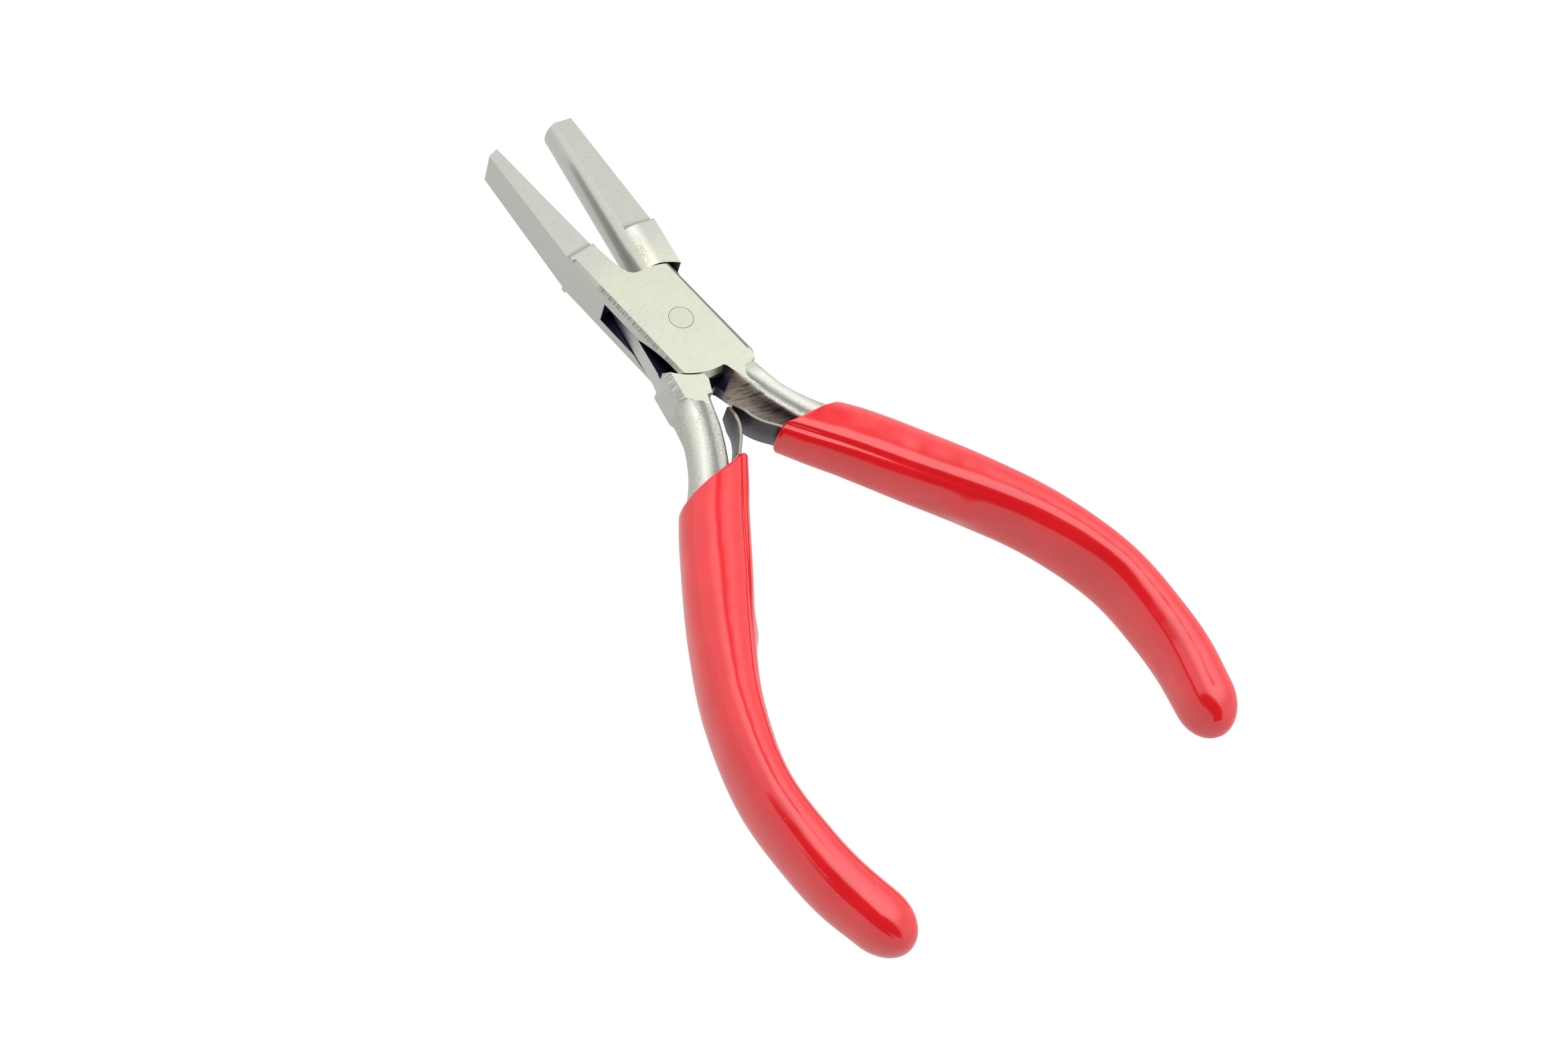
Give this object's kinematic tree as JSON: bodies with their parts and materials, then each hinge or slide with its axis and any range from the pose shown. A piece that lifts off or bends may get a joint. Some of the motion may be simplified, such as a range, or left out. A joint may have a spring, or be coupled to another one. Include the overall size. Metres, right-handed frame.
{
  "type": "crimping pliers",
  "caption": "Box-joint jewellery pliers with a flat jaw and a half-round jaw, a pair of leaf springs that hold them open, and curved handles in dipped vinyl grips.",
  "frame": {"origin": "where the pivot's axis meets the ground top face of the joint", "axes": "+Y from the handles to the jaws, +Z out of the joint's top face along the pivot's axis, +X towards the half-round jaw"},
  "size_m": [0.0807, 0.1459, 0.0148],
  "materials": {
    "ground_steel": "ground bright on the faces, satin on the forged shanks",
    "spring_steel": "dark tempered",
    "rivet_steel": "ground flush",
    "red_vinyl": "glossy dipped vinyl"
  },
  "bodies": {
    "flat_jaw_side": {"flat_jaw_lever": "ground_steel", "pivot_rivet": "rivet_steel", "right_spring_root": "spring_steel", "right_spring_rivet": "rivet_steel", "right_grip": "red_vinyl"},
    "half_round_jaw_side": {"half_round_jaw_lever": "ground_steel", "left_spring_root": "spring_steel", "left_spring_rivet": "rivet_steel", "left_grip": "red_vinyl"},
    "right_blade": {"right_spring_blade": "spring_steel"},
    "left_blade": {"left_spring_blade": "spring_steel"}
  },
  "joints": [
    {"name": "pivot", "type": "hinge", "parent": "flat_jaw_side", "child": "half_round_jaw_side", "pos_m": [0, 0, 0], "axis": [0, 0, 1], "range_deg": [-1.5, 13.6], "stiffness_Nm_per_rad": 1.5},
    {"name": "right_blade_bend", "type": "hinge", "parent": "flat_jaw_side", "child": "right_blade", "pos_m": [0.00565, -0.0272, -0.0045], "axis": [0, 0, 1], "range_deg": [-10.2, 1.3]},
    {"name": "left_blade_bend", "type": "hinge", "parent": "half_round_jaw_side", "child": "left_blade", "pos_m": [-0.00875, -0.0272, -0.0045], "axis": [0, 0, 1], "range_deg": [-1.3, 10.2]}
  ],
  "couplings": [
    {"joint": "right_blade_bend", "follows": "pivot", "ratio": -0.73},
    {"joint": "left_blade_bend", "follows": "pivot", "ratio": 0.73}
  ]
}
